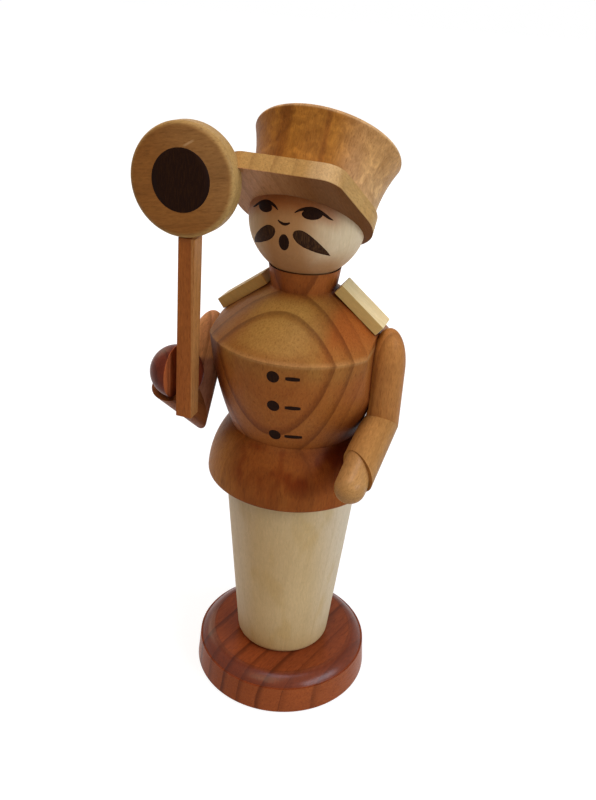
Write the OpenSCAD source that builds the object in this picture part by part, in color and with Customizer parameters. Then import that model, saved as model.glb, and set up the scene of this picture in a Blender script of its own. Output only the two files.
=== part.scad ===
// Turned wooden figurine of a station guard who holds up a signal disc.
// Millimetres, +Z up, front of the figure toward -Y, origin at the centre of the base underside.

/* [Base] */
// Diameter of the round base
base_d = 44.4; // [42:0.1:47]
// Height of the base
base_h = 9.8; // [9:0.1:11]
// Height of the upright rim below the rounded shoulder
base_rim_h = 7.4; // [6.8:0.1:7.8]
// Inward taper of the upright rim
base_taper = 0.6; // [0.3:0.1:1]
// Diameter of the flat top inside the rounded shoulder
base_top_d = 35.6; // [33:0.1:38]
// Narrow step between the rim and the shoulder
base_step = 0.4; // [0.2:0.1:0.7]
// Bulge of the shoulder over a straight bevel
base_bulge = 0.4; // [0.25:0.05:0.6]
// Bevel around the foot of the base
base_bevel = 0.5; // [0.3:0.1:0.9]

/* [Trousers] */
// Visible height of the trousers between base and coat
trouser_h = 48.9; // [46:0.1:52]
// Diameter at the base
trouser_bottom_d = 23.6; // [22:0.1:26]
// Diameter under the coat
trouser_top_d = 32.4; // [31:0.1:34]
// Rounding at the foot
trouser_round = 1.6; // [0.8:0.1:2.2]
// Diameter of the turned spigot in the base
foot_spigot_d = 10; // [8:0.1:12]
// Length of the spigot in the base
foot_spigot_l = 5; // [4:0.1:6]
// Diameter of the turned spigot in the coat
waist_spigot_d = 16; // [13:0.1:18]
// Length of the spigot in the coat
waist_spigot_l = 9; // [7:0.1:11]

/* [Coat] */
// Diameter at the hem
hem_d = 40.4; // [39:0.1:42]
// Height from the hem to the waist
skirt_h = 13.4; // [12.6:0.1:14.4]
// Bulge of the skirt
skirt_bulge = 1.15; // [0.6:0.05:1.6]
// Rounding of the hem
hem_round = 0.6; // [0.3:0.1:1]
// Depth of the hollow under the hem
hem_hollow = 2; // [1:0.1:3]
// Width of the rim around the hollow
hem_rim = 2; // [1.4:0.1:2.6]
// Diameter of the waist crease
waist_d = 30; // [29:0.1:31]
// Height from the waist to the chest ridge
belly_h = 22.3; // [21:0.1:23.5]
// Bulge of the belly
belly_bulge = 0.85; // [0.5:0.05:1.2]
// Diameter of the chest ridge
ridge_d = 40.8; // [39.6:0.1:42]
// Height from the ridge to the collar
shoulder_h = 10.7; // [10:0.1:11.4]
// Bulge of the shoulder slope
shoulder_bulge = 0.55; // [0.4:0.05:0.8]
// Diameter at the foot of the collar
collar_d = 14.5; // [13.6:0.1:15.4]
// Height of the collar
collar_h = 4.6; // [4:0.1:5.2]
// Diameter of the collar rim
collar_rim_d = 15.8; // [15:0.1:16.6]
// Distance between the two flats that carry the arms
arm_flats = 35.6; // [34.8:0.1:36.6]

/* [Head] */
// Diameter of the ball head
head_d = 25; // [24:0.1:26]
// Turn of the face, minus is toward the signal hand
head_turn = -4; // [-12:1:4]
// Gap between the ball and the collar cup
head_gap = 0.3; // [0.2:0.05:0.4]
// Diameter of the neck dowel
neck_dowel_d = 6; // [5:0.1:7]
// Depth of the neck dowel in the coat
neck_dowel_in = 8; // [6:0.1:10]
// Depth of the neck dowel in the head
neck_dowel_up = 6; // [5:0.1:7]

/* [Cap] */
// Backward tilt of the cap
cap_tilt = 38; // [34:1:42]
// Distance of the cap face below the ball centre
cap_drop = 1.3; // [0.8:0.1:1.8]
// Thickness of the visor plate
visor_t = 3.5; // [3:0.1:4]
// Diameter of the round back of the visor plate
visor_d = 29.6; // [28.6:0.1:30.6]
// Distance of the middle of the round back in front of the cap axis
visor_ahead = 3.5; // [3:0.1:4]
// Sideways offset of the visor plate away from the signal hand
visor_offset = 0.3; // [0:0.1:0.5]
// Reach of the visor in front of the cap axis
visor_reach = 21.5; // [20:0.1:23]
// Straight width of the visor front between the corner rounds
visor_front = 16.4; // [14:0.1:18]
// Radius of the visor corners
visor_corner = 4; // [3:0.1:5]
// Height of the crown
crown_h = 14.8; // [14:0.1:16]
// Diameter at the foot of the crown
crown_d = 27.2; // [26.4:0.1:28]
// Diameter of the crown at the top
crown_top_d = 32.2; // [30.6:0.1:33]
// Hollow of the crown flank
crown_hollow = 0.75; // [0.4:0.05:1]
// Sideways offset of the crown toward the signal hand
crown_offset = 0.3; // [0:0.1:0.6]
// Rounding of the top edge of the crown
crown_round = 0.9; // [0.6:0.1:1.4]
// Diameter of the dowel through visor and head
cap_dowel_d = 5; // [4:0.1:6]
// Depth of the cap dowel in the head
cap_dowel_in = 4; // [3:0.1:4.5]
// Depth of the cap dowel in the crown
cap_dowel_up = 7; // [5:0.1:9]

/* [Epaulettes] */
// Length of the strip down the shoulder
epaulette_l = 12.7; // [12:0.1:13.6]
// Width of the strip
epaulette_w = 6; // [5:0.1:7]
// Thickness of the strip
epaulette_t = 2.5; // [2:0.1:2.8]
// Distance of the strip from the shoulder edge
epaulette_edge = 4; // [3.4:0.1:4.6]
// Depth of the flat seat filed in the shoulder
epaulette_seat = 0.1; // [0.05:0.05:0.2]
// Dip of the right strip toward the collar
right_strip_dip = 2.5; // [1:0.5:3]

/* [Arms] */
// Diameter of the arm dowel
arm_d = 8.2; // [7.8:0.1:8.4]
// Distance of the left arm axis from the flat on the coat
left_standoff = 2.4; // [2.2:0.1:2.6]
// Distance of the right arm axis from the flat on the coat
right_standoff = 3.5; // [3.3:0.1:3.7]
// Forward set of the right shoulder
right_forward = 3.9; // [3.5:0.1:4.3]
// Height of the shoulder dome
arm_dome = 9.2; // [8.6:0.1:9.6]
// Drop of the left dome foot below the chest ridge
left_drop = 5.3; // [4.8:0.1:5.8]
// Drop of the right dome foot below the chest ridge
right_drop = 7.4; // [6.9:0.1:7.9]
// Length of the left upper arm from the dome to the elbow
upper_left_l = 13.6; // [13:0.1:14.2]
// Length of the right upper arm from the dome to the elbow
upper_right_l = 12.8; // [12.2:0.1:13.4]
// Outward lean of the right upper arm
right_lean = 6; // [4:0.5:8]
// Forward swing of the right upper arm
right_swing = 19; // [16:0.5:22]
// Heading of the left forearm, minus is inward
fore_left_turn = -2; // [-4:0.5:1]
// Drop of the left forearm below level
fore_left_drop = 13; // [10:0.5:16]
// Length of the left forearm to the cuff
fore_left_l = 17; // [16:0.1:18]
// Heading of the right forearm, minus is outward
fore_right_turn = -22; // [-26:0.5:-18]
// Rise of the right forearm above level
fore_right_rise = 44.5; // [42:0.5:47]
// Length of the right forearm to the cuff
fore_right_l = 9.3; // [9:0.1:9.8]
// Relief of the arms where they pass the belly
arm_relief = 0.4; // [0.3:0.05:0.6]
// Diameter of the shoulder dowels
shoulder_dowel_d = 3; // [2.6:0.1:3.4]
// Depth of the shoulder dowels in the coat
shoulder_dowel_in = 5; // [4:0.1:6]
// Depth of the shoulder dowels in the arm
shoulder_dowel_out = 4; // [3:0.1:4.5]
// Drop of the shoulder dowels below the chest ridge
shoulder_dowel_drop = 4.5; // [4:0.1:5]
// Diameter of the elbow dowels
elbow_dowel_d = 1.8; // [1.6:0.1:2]
// Length of the elbow dowels
elbow_dowel_l = 4.4; // [4:0.1:4.8]

/* [Hands] */
// Diameter of the left hand
hand_left_d = 6.8; // [6.4:0.1:7.2]
// Reach of the left hand from the cuff to the middle of its round end
hand_left_l = 4.6; // [4.2:0.1:5.2]
// Heading of the left hand, minus is inward
hand_left_turn = -5; // [-9:1:-2]
// Drop of the left hand below level
hand_left_drop = 26; // [22:1:30]
// Heading of the slanted left cuff face
cuff_left_turn = -36; // [-40:1:-32]
// Drop of the slanted left cuff face below level
cuff_left_drop = 2; // [0:1:6]
// Diameter of the right hand ball
hand_right_d = 11.8; // [11.4:0.1:12.2]
// Distance of the ball centre from the right cuff
hand_right_l = 5.5; // [5.2:0.1:5.7]
// Heading of the right hand from the slanted cuff, plus is inward
hand_right_turn = 52; // [48:1:56]
// Rise of the right hand above level
hand_right_rise = 59; // [56:1:62]
// Diameter of the tenon of each hand
hand_tenon_d = 3; // [2.6:0.1:3.4]
// Length of the tenon of each hand
hand_tenon_l = 4.5; // [4:0.1:5]

/* [Signal disc] */
// Width of the square staff
staff_w = 3.6; // [3.5:0.1:3.8]
// Distance of the staff middle in front of the ball centre
staff_front = 1.65; // [1.5:0.05:1.8]
// Sideways distance of the staff middle from the ball centre
staff_side = 3.3; // [3.1:0.1:3.6]
// Lean of the staff toward the head
staff_lean = 1.1; // [0:0.1:2]
// Room beside the staff in the hand slot
slot_room = 1.8; // [1.75:0.05:2.2]
// Length of the staff below the ball centre
staff_low = 9; // [8.4:0.1:9.8]
// Length of the staff above the ball centre
staff_high = 31.2; // [30:0.1:32.6]
// Diameter of the round tenon on the staff
staff_tenon_d = 2.8; // [2.4:0.1:3]
// Length of the round tenon
staff_tenon_l = 6; // [5:0.1:7]
// Diameter of the signal disc
disc_d = 22.2; // [21:0.1:23]
// Thickness of the signal disc
disc_t = 4.8; // [4.4:0.1:5.2]
// Sideways offset of the disc on its staff, outward
disc_offset = 1.2; // [0.6:0.1:1.6]
// Backward tilt of the disc
disc_tilt = 4; // [0:0.5:6]
// Rounding of the disc rim
disc_round = 1.1; // [0.8:0.1:1.4]

/* [Fits] */
// Radial clearance of every dowel, spigot and tenon
fit_gap = 0.05; // [0.02:0.01:0.1]
// Room at the blind end of every hole
end_room = 0.4; // [0.3:0.05:0.6]

/* [Hidden] */
$fn = 96;
arc_steps = 20;
small_steps = 6;
reach = 90;
drill_lead = 4;
arm_r = arm_d / 2;
hand_left_r = hand_left_d / 2;
hand_right_r = hand_right_d / 2;
head_r = head_d / 2;
head_cup_r = head_r + head_gap;
visor_r = visor_d / 2;
flat_x = arm_flats / 2;

// Heights of the turned stack
trouser_top_z = base_h + trouser_h + hem_hollow;
hem_z = base_h + trouser_h;
waist_z = hem_z + skirt_h;
ridge_z = waist_z + belly_h;
collar_z = ridge_z + shoulder_h;
collar_rim_z = collar_z + collar_h;
head_z = collar_rim_z + sqrt(pow(head_cup_r, 2) - pow(collar_rim_d / 2, 2));
neck_low_z = collar_rim_z - neck_dowel_in;
neck_high_z = head_z - head_r + neck_dowel_up;

// Slope of the shoulder, from the ridge up to the collar
slope_run = (ridge_d - collar_d) / 2;
slope_angle = atan2(shoulder_h, slope_run);

// Direction of a heading from the front (plus toward +X) and a rise above level
function heading(turn, rise) = [sin(turn) * cos(rise), -cos(turn) * cos(rise), sin(rise)];
function unit(v) = v / norm(v);

// Points of a shallow arc from p to q that bulges by s to the right of the path
function arc_points(p, q, s, n) =
    let (half = norm(q - p) / 2,
         bend = 2 * atan2(abs(s), half),
         r = half / sin(bend),
         out = unit([(q - p)[1], -(q - p)[0]]) * sign(s),
         mid = (p + q) / 2 - out * r * cos(bend),
         dir = unit(q - p))
    [for (i = [0 : n]) let (a = bend * (2 * i / n - 1)) mid + out * r * cos(a) + dir * r * sin(a)];

// Points of a quarter round about c, from start angle to end angle
function round_points(c, r, a0, a1, n) =
    [for (i = [0 : n]) let (a = a0 + (a1 - a0) * i / n) c + r * [cos(a), sin(a)]];

// Left arm
left_down = [0, 0, -1];
left_shoulder = [flat_x + left_standoff, 0, ridge_z - left_drop];
left_fore = heading(fore_left_turn, -fore_left_drop);
left_elbow = left_shoulder + upper_left_l * left_down;
left_mitre = unit(left_down + left_fore);
left_cuff = left_elbow + fore_left_l * left_fore;
left_cuff_face = heading(cuff_left_turn, -cuff_left_drop);
left_hand = heading(hand_left_turn, -hand_left_drop);

// Right arm
right_down = unit([-tan(right_lean), -tan(right_swing), -1]);
right_shoulder = [-flat_x - right_standoff, -right_forward, ridge_z - right_drop];
right_fore = heading(fore_right_turn, fore_right_rise);
right_elbow = right_shoulder + upper_right_l * right_down;
right_mitre = unit(right_down + right_fore);
right_cuff = right_elbow + fore_right_l * right_fore;
right_hand = heading(hand_right_turn, hand_right_rise);
right_cuff_face = unit(right_fore + right_hand);
right_ball = right_cuff + hand_right_l * right_hand;
right_seat = right_ball - right_cuff_face * hand_right_l * (right_hand * right_cuff_face);
right_peg = (right_cuff + right_seat) / 2;

// Signal disc
staff_at = right_ball + [staff_side, -staff_front, 0];
disc_low = disc_d / 2 + (disc_t / 2 - disc_round) * sin(disc_tilt);

// Middle of each shoulder dowel in the plane of the flat, left then right
shoulder_dowel_at = [[flat_x, left_shoulder[1], ridge_z - shoulder_dowel_drop],
                     [-flat_x, right_shoulder[1], ridge_z - shoulder_dowel_drop]];

// Puts a child that stands on +Z at point p along direction d
module point_along(p, d) {
    translate(p)
        rotate([0, acos(d[2]), atan2(d[1], d[0])])
            children();
}

// Everything beyond the plane through p, on the side that n points to
module beyond(p, n) {
    point_along(p, n)
        translate([-reach / 2, -reach / 2, 0])
            cube(reach);
}

// Moves a child from the cap frame, +Z along the cap axis, to its place on the head
module on_cap() {
    translate([0, 0, head_z])
        rotate([0, 0, head_turn])
            rotate([-cap_tilt, 0, 0])
                translate([0, 0, -cap_drop])
                    children();
}

// Moves a child from the staff frame, +Z along the staff from the middle of the hand, to its place
module on_staff() {
    translate(staff_at)
        rotate([0, staff_lean, 0])
            children();
}

// Round dowel from point p along d
module pin(p, d, dia, l) {
    point_along(p, d)
        cylinder(d = dia, h = l);
}

// Hole for a dowel of that diameter and depth, drilled from outside the face at p along d
module hole(p, d, dia, l) {
    pin(p - d * drill_lead, d, dia + 2 * fit_gap, drill_lead + l + end_room);
}

module base() {
    rim_r = base_d / 2 - base_taper;
    color("#8a4526")
        difference() {
            rotate_extrude()
                polygon(concat(
                    [[0, 0], [base_d / 2 - base_bevel, 0], [base_d / 2, base_bevel], [rim_r, base_rim_h]],
                    arc_points([rim_r - base_step, base_rim_h], [base_top_d / 2, base_h],
                               base_bulge, arc_steps),
                    [[0, base_h]]));
            hole([0, 0, base_h], [0, 0, -1], foot_spigot_d, foot_spigot_l);
        }
}

module trousers() {
    color("#dcc9a0")
        rotate_extrude()
            polygon(concat(
                [[0, base_h - foot_spigot_l], [foot_spigot_d / 2, base_h - foot_spigot_l],
                 [foot_spigot_d / 2, base_h]],
                round_points([trouser_bottom_d / 2 - trouser_round, base_h + trouser_round],
                             trouser_round, -90, 0, small_steps),
                [[trouser_top_d / 2, trouser_top_z], [waist_spigot_d / 2, trouser_top_z],
                 [waist_spigot_d / 2, trouser_top_z + waist_spigot_l], [0, trouser_top_z + waist_spigot_l]]));
}

// Strip of an epaulette on the slope at side s, sunk by the depth of its seat and dipped about its outer end
module shoulder_strip(s, w) {
    dip = s > 0 ? 0 : right_strip_dip;
    rotate([0, 0, s > 0 ? 0 : 180])
        translate([ridge_d / 2, 0, ridge_z])
            rotate([0, slope_angle, 0])
                translate([-epaulette_edge, 0, shoulder_bulge - epaulette_seat])
                    rotate([0, -dip, 0])
                        translate([-epaulette_l, -w / 2, 0])
                            cube([epaulette_l, w, epaulette_t]);
}

module coat() {
    hem_r = hem_d / 2;
    color("#a9713c")
        difference() {
            rotate_extrude()
                polygon(concat(
                    [[0, hem_z]],
                    round_points([hem_r - hem_round, hem_z + hem_round], hem_round, -90, 0, small_steps),
                    arc_points([hem_r, hem_z + hem_round], [waist_d / 2, waist_z], skirt_bulge, arc_steps),
                    arc_points([waist_d / 2, waist_z], [ridge_d / 2, ridge_z], belly_bulge, arc_steps),
                    arc_points([ridge_d / 2, ridge_z], [collar_d / 2, collar_z], shoulder_bulge, small_steps),
                    [[collar_rim_d / 2, collar_rim_z], [0, collar_rim_z]]));
            translate([0, 0, hem_z - hem_hollow])
                cylinder(r = hem_r - hem_rim, h = 2 * hem_hollow);
            hole([0, 0, trouser_top_z], [0, 0, 1], waist_spigot_d, waist_spigot_l);
            translate([0, 0, head_z])
                sphere(r = head_cup_r);
            hole([0, 0, collar_rim_z], [0, 0, -1], neck_dowel_d, neck_dowel_in);
            for (s = [-1, 1]) {
                beyond([s * flat_x, 0, waist_z + reach / 2], [s, 0, 0]);
                shoulder_strip(s, reach);
            }
            for (p = shoulder_dowel_at)
                hole(p, [-sign(p[0]), 0, 0], shoulder_dowel_d, shoulder_dowel_in);
        }
}

module neck_dowel() {
    color("#c9ac7c")
        translate([0, 0, neck_low_z])
            cylinder(d = neck_dowel_d, h = neck_high_z - neck_low_z);
}

module head() {
    color("#d9c39a")
        difference() {
            translate([0, 0, head_z])
                sphere(r = head_r);
            on_cap() {
                beyond([0, 0, 0], [0, 0, 1]);
                hole([0, 0, 0], [0, 0, -1], cap_dowel_d, cap_dowel_in);
            }
            hole([0, 0, head_z - head_r], [0, 0, 1], neck_dowel_d, neck_dowel_up);
        }
}

// Flat outline of the visor: a round back with straight sides that run to a rounded front
module visor_outline() {
    cx = visor_front / 2;
    cy = visor_reach - visor_ahead - visor_corner;
    lean = atan2(cy, cx) - acos((visor_r - visor_corner) / norm([cx, cy]));
    side = [cos(lean), sin(lean)];
    back = visor_r * side;
    corner = [cx, cy] + visor_corner * side;
    translate([visor_offset, -visor_ahead])
        mirror([0, 1]) {
            circle(r = visor_r);
            for (s = [-1, 1])
                translate([s * cx, cy])
                    circle(r = visor_corner);
            polygon([back, corner, [cx, cy], [cx, cy + visor_corner], [-cx, cy + visor_corner], [-cx, cy],
                     [-corner[0], corner[1]], [-back[0], back[1]]]);
        }
}

module cap_visor() {
    color("#bb8a4c")
        on_cap()
            difference() {
                linear_extrude(visor_t)
                    visor_outline();
                hole([0, 0, 0], [0, 0, 1], cap_dowel_d, visor_t);
            }
}

module cap_crown() {
    top_r = crown_top_d / 2;
    color("#a87038")
        on_cap()
            translate([0, 0, visor_t])
                difference() {
                    translate([-crown_offset, 0, 0])
                        rotate_extrude()
                            polygon(concat(
                                [[0, 0]],
                                arc_points([crown_d / 2, 0], [top_r, crown_h - crown_round],
                                           -crown_hollow, arc_steps),
                                round_points([top_r - crown_round, crown_h - crown_round],
                                             crown_round, 0, 90, small_steps),
                                [[0, crown_h]]));
                    hole([0, 0, 0], [0, 0, 1], cap_dowel_d, cap_dowel_up);
                }
}

module cap_dowel() {
    color("#c9ac7c")
        on_cap()
            translate([0, 0, -cap_dowel_in])
                cylinder(d = cap_dowel_d, h = cap_dowel_in + visor_t + cap_dowel_up);
}

module epaulette_left() {
    color("#d8c088")
        shoulder_strip(1, epaulette_w);
}

module epaulette_right() {
    color("#d8c088")
        shoulder_strip(-1, epaulette_w);
}

module shoulder_dowels() {
    color("#c9ac7c")
        for (p = shoulder_dowel_at)
            pin(p - [sign(p[0]) * shoulder_dowel_in, 0, 0], [sign(p[0]), 0, 0],
                shoulder_dowel_d, shoulder_dowel_in + shoulder_dowel_out);
}

// Arm dowel with a domed shoulder at p, running along d
module domed_dowel(p, d) {
    point_along(p, -d)
        rotate_extrude()
            polygon(concat(
                [[0, -reach / 2], [arm_r, -reach / 2]],
                [for (i = [0 : arc_steps])
                    [arm_r * cos(90 * i / arc_steps), arm_dome * sin(90 * i / arc_steps)]]));
}

// Room that the coat takes from the waist up, wider than the belly by the relief
module coat_room() {
    rotate_extrude()
        polygon(concat(
            [[0, waist_z]],
            arc_points([waist_d / 2 + arm_relief, waist_z], [ridge_d / 2 + arm_relief, ridge_z],
                       belly_bulge, arc_steps),
            [[ridge_d / 2 + arm_relief, collar_z], [0, collar_z]]));
}

// Upper arm planed against the flat of the coat at dowel hole p and cut to the mitre at the elbow
module upper_arm(p, shoulder, down, elbow, mitre) {
    out = [sign(p[0]), 0, 0];
    difference() {
        domed_dowel(shoulder, down);
        beyond(elbow, mitre);
        intersection() {
            beyond(p, -out);
            coat_room();
        }
        hole(p, out, shoulder_dowel_d, shoulder_dowel_out);
        hole(elbow, -mitre, elbow_dowel_d, elbow_dowel_l / 2);
    }
}

module upper_arm_left() {
    color("#a9713c")
        upper_arm(shoulder_dowel_at[0], left_shoulder, left_down, left_elbow, left_mitre);
}

module upper_arm_right() {
    color("#a9713c")
        upper_arm(shoulder_dowel_at[1], right_shoulder, right_down, right_elbow, right_mitre);
}

module elbow_dowels() {
    color("#c9ac7c") {
        pin(left_elbow - left_mitre * elbow_dowel_l / 2, left_mitre, elbow_dowel_d, elbow_dowel_l);
        pin(right_elbow - right_mitre * elbow_dowel_l / 2, right_mitre, elbow_dowel_d, elbow_dowel_l);
    }
}

// Forearm between the mitre at the elbow and the cuff face, bored for the tenon of the hand
module forearm(elbow, mitre, fore, cuff, cuff_face, peg, peg_dir) {
    difference() {
        point_along(elbow - fore * reach / 2, fore)
            cylinder(r = arm_r, h = reach);
        beyond(elbow, -mitre);
        beyond(cuff, cuff_face);
        hole(elbow, mitre, elbow_dowel_d, elbow_dowel_l / 2);
        hole(peg, -peg_dir, hand_tenon_d, hand_tenon_l);
    }
}

module forearm_left() {
    color("#b8814a")
        difference() {
            forearm(left_elbow, left_mitre, left_fore, left_cuff, left_cuff_face, left_cuff, left_hand);
            coat_room();
        }
}

module forearm_right() {
    color("#9c6434")
        forearm(right_elbow, right_mitre, right_fore, right_cuff, right_cuff_face,
                right_peg, right_cuff_face);
}

// Round-ended peg that sits on the slanted cuff face
module hand_left() {
    color("#b8814a")
        union() {
            difference() {
                point_along(left_cuff, left_hand)
                    rotate_extrude()
                        polygon(concat(
                            [[0, -hand_left_l], [hand_left_r, -hand_left_l]],
                            round_points([0, hand_left_l], hand_left_r, 0, 90, arc_steps)));
                beyond(left_cuff, -left_cuff_face);
            }
            pin(left_cuff + left_hand * hand_tenon_d / 2, -left_hand,
                hand_tenon_d, hand_tenon_l + hand_tenon_d / 2);
        }
}

// Ball with a flat at the cuff and an open slot in which the staff is glued
module hand_right() {
    color("#6b3020")
        union() {
            difference() {
                translate(right_ball)
                    sphere(r = hand_right_r);
                beyond(right_cuff, -right_cuff_face);
                on_staff()
                    translate([-staff_w / 2 - slot_room, staff_w / 2 - reach, -reach / 2])
                        cube(reach);
            }
            pin(right_peg + right_cuff_face * hand_tenon_d / 2, -right_cuff_face,
                hand_tenon_d, hand_tenon_l + hand_tenon_d / 2);
        }
}

module signal_staff() {
    color("#8f4c2a")
        on_staff()
            union() {
                translate([-staff_w / 2, -staff_w / 2, -staff_low])
                    cube([staff_w, staff_w, staff_low + staff_high]);
                cylinder(d = staff_tenon_d, h = staff_high + staff_tenon_l);
            }
}

module signal_disc() {
    disc_r = disc_d / 2;
    color("#b08650")
        on_staff()
            difference() {
                translate([-disc_offset, 0, staff_high + disc_low])
                    rotate([90 - disc_tilt, 0, 0])
                        rotate_extrude()
                            polygon(concat(
                                [[0, -disc_t / 2]],
                                round_points([disc_r - disc_round, disc_round - disc_t / 2],
                                             disc_round, -90, 0, small_steps),
                                round_points([disc_r - disc_round, disc_t / 2 - disc_round],
                                             disc_round, 0, 90, small_steps),
                                [[0, disc_t / 2]]));
                hole([0, 0, staff_high], [0, 0, 1], staff_tenon_d, staff_tenon_l);
            }
}

base();
trousers();
coat();
neck_dowel();
head();
cap_visor();
cap_crown();
cap_dowel();
epaulette_left();
epaulette_right();
shoulder_dowels();
upper_arm_left();
upper_arm_right();
elbow_dowels();
forearm_left();
forearm_right();
hand_left();
hand_right();
signal_staff();
signal_disc();
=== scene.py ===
import math
import bpy
from mathutils import Matrix, Vector


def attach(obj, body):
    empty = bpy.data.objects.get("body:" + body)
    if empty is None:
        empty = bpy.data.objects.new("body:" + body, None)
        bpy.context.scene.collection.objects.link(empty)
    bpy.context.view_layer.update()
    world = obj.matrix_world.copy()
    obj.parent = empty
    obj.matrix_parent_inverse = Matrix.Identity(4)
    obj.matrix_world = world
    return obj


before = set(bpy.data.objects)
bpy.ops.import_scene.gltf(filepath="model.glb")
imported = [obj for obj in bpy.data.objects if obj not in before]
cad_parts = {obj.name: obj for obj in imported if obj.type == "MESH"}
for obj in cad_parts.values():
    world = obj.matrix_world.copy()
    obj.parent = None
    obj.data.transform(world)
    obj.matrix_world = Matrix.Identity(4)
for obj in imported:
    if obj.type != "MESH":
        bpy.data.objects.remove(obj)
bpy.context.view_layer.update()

MM = 0.001
BODY = "root"

# Sizes repeated from the part, in millimetres and degrees
BASE_RIM_Z = 7.4
BASE_TOP_Z = 9.8
BASE_TOP_R = 17.8
HEM_Z = 58.7
WAIST_Z = 72.1
WAIST_R = 15.0
BELLY_BULGE = 0.85
RIDGE_Z = 94.4
RIDGE_R = 20.4
SHOULDER_SLOPE = 39.1
COLLAR_Z = 105.1
ARM_FLAT_X = 17.8
RIGHT_SHOULDER_Z = 87.0
HEAD_Z = 119.77
HEAD_R = 12.5
HEAD_TURN = -4.0
CAP_TILT = 38.0
CAP_DROP = 1.3
CAP_TOP = 18.3
STAFF_AT = (-19.53, -17.59, 86.21)
STAFF_LEAN = 1.1
STAFF_W = 3.6
STAFF_HIGH = 31.2
SLOT_WALL = 3.6
DISC_R = 11.1
DISC_T = 4.8
DISC_LOW = 11.19
DISC_OFFSET = 1.2
DISC_TILT = 4.0

# Directions of the arm rods, repeated from the part
LEFT_FORE = (-0.034, -0.974, -0.225)
RIGHT_DOWN = (-0.099, -0.324, -0.941)
RIGHT_FORE = (-0.267, -0.661, 0.701)


def heading(turn, rise):
    """Direction of a heading from the front, plus toward +X, and a rise above level."""
    t, r = math.radians(turn), math.radians(rise)
    return Vector((math.sin(t) * math.cos(r), -math.cos(t) * math.cos(r), math.sin(r)))


def linear(hex_colour):
    """Linear colour of an sRGB hex value."""
    parts = [int(hex_colour[i:i + 2], 16) / 255 for i in (0, 2, 4)]
    return tuple(p / 12.92 if p <= 0.04045 else ((p + 0.055) / 1.055) ** 2.4 for p in parts) + (1.0,)


# Node trees
class Net:
    """Node tree of a material or the world, with short calls for the nodes that the looks share."""

    def __init__(self, owner):
        owner.use_nodes = True
        self.owner = owner
        self.tree = owner.node_tree
        self.tree.nodes.clear()

    def add(self, kind, **settings):
        """New node of a kind with its settings."""
        made = self.tree.nodes.new(kind)
        for key, value in settings.items():
            setattr(made, key, value)
        return made

    def put(self, value, socket):
        """Link another node's output to a socket, or set the socket to a plain value."""
        if isinstance(value, bpy.types.NodeSocket):
            self.tree.links.new(value, socket)
        else:
            socket.default_value = value

    def math(self, operation, a, b=0.0):
        """Number from one or two numbers."""
        made = self.add("ShaderNodeMath", operation=operation)
        self.put(a, made.inputs[0])
        self.put(b, made.inputs[1])
        return made.outputs[0]

    def times(self, first, *others):
        """Product of numbers."""
        product = first
        for other in others:
            product = self.math("MULTIPLY", product, other)
        return product

    def apart(self, a, b):
        """Distance between two numbers."""
        return self.math("ABSOLUTE", self.math("SUBTRACT", a, b))

    def ramp(self, value, start, end, first, last):
        """Number that goes smoothly from first to last while the value goes from start to end."""
        made = self.add("ShaderNodeMapRange", interpolation_type="SMOOTHSTEP")
        self.put(value, made.inputs["Value"])
        for key, number in (("From Min", start), ("From Max", end), ("To Min", first), ("To Max", last)):
            made.inputs[key].default_value = number
        return made.outputs[0]

    def vector(self, operation, a, b=(0.0, 0.0, 0.0)):
        """Vector, length or dot product from one or two vectors."""
        made = self.add("ShaderNodeVectorMath", operation=operation)
        self.put(a, made.inputs[0])
        self.put(b, made.inputs[1])
        return made.outputs["Value" if operation in ("LENGTH", "DOT_PRODUCT") else "Vector"]

    def joined(self, *numbers):
        """Vector of three numbers."""
        made = self.add("ShaderNodeCombineXYZ")
        for number, socket in zip(numbers, made.inputs):
            self.put(number, socket)
        return made.outputs[0]

    def parts(self, vector):
        """The three numbers of a vector, by the names X, Y and Z or in that order."""
        made = self.add("ShaderNodeSeparateXYZ")
        self.put(vector, made.inputs[0])
        return made.outputs

    def place(self):
        """Place on the figure in millimetres."""
        return self.vector("MULTIPLY", self.add("ShaderNodeTexCoord").outputs["Object"], (1 / MM,) * 3)

    def noise(self, place, stretch, detail=2.0, roughness=0.5, distortion=0.0, output="Fac"):
        """Noise with its own fineness along each axis."""
        made = self.add("ShaderNodeTexNoise")
        self.put(self.vector("MULTIPLY", place, stretch), made.inputs["Vector"])
        settings = {"Scale": 1.0, "Detail": detail, "Roughness": roughness, "Distortion": distortion}
        for key, number in settings.items():
            made.inputs[key].default_value = number
        return made.outputs[output]

    def mix(self, share, a, b, blend="MIX"):
        """Colour a with a share of colour b. Inputs 6 and 7 and output 2 are the node's colour sockets."""
        made = self.add("ShaderNodeMix", data_type="RGBA", blend_type=blend)
        self.put(share, made.inputs["Factor"])
        self.put(a, made.inputs[6])
        self.put(b, made.inputs[7])
        return made.outputs[2]

    def tint(self, share, colour, hex_colour):
        """Colour with a share of a fixed one."""
        return self.mix(share, colour, linear(hex_colour))

    def filtered(self, colour, red, green, blue):
        """Colour times a number for each channel."""
        return self.mix(1.0, colour, (red, green, blue, 1.0), "MULTIPLY")

    def relief(self, height, strength, depth):
        """Normal of a fine relief, its depth in millimetres."""
        made = self.add("ShaderNodeBump")
        made.inputs["Strength"].default_value = strength
        made.inputs["Distance"].default_value = depth * MM
        self.put(height, made.inputs["Height"])
        return made.outputs[0]

    def principled(self, colour, rough, normal, specular):
        """Shader node with the inputs that woods and inks share."""
        made = self.add("ShaderNodeBsdfPrincipled")
        self.put(colour, made.inputs["Base Color"])
        self.put(rough, made.inputs["Roughness"])
        self.put(normal, made.inputs["Normal"])
        made.inputs["Specular IOR Level"].default_value = specular
        return made

    def surface(self, shader, output="ShaderNodeOutputMaterial"):
        """The material or world, with the shader on its surface."""
        self.put(shader.outputs[0], self.add(output).inputs["Surface"])
        return self.owner


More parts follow.
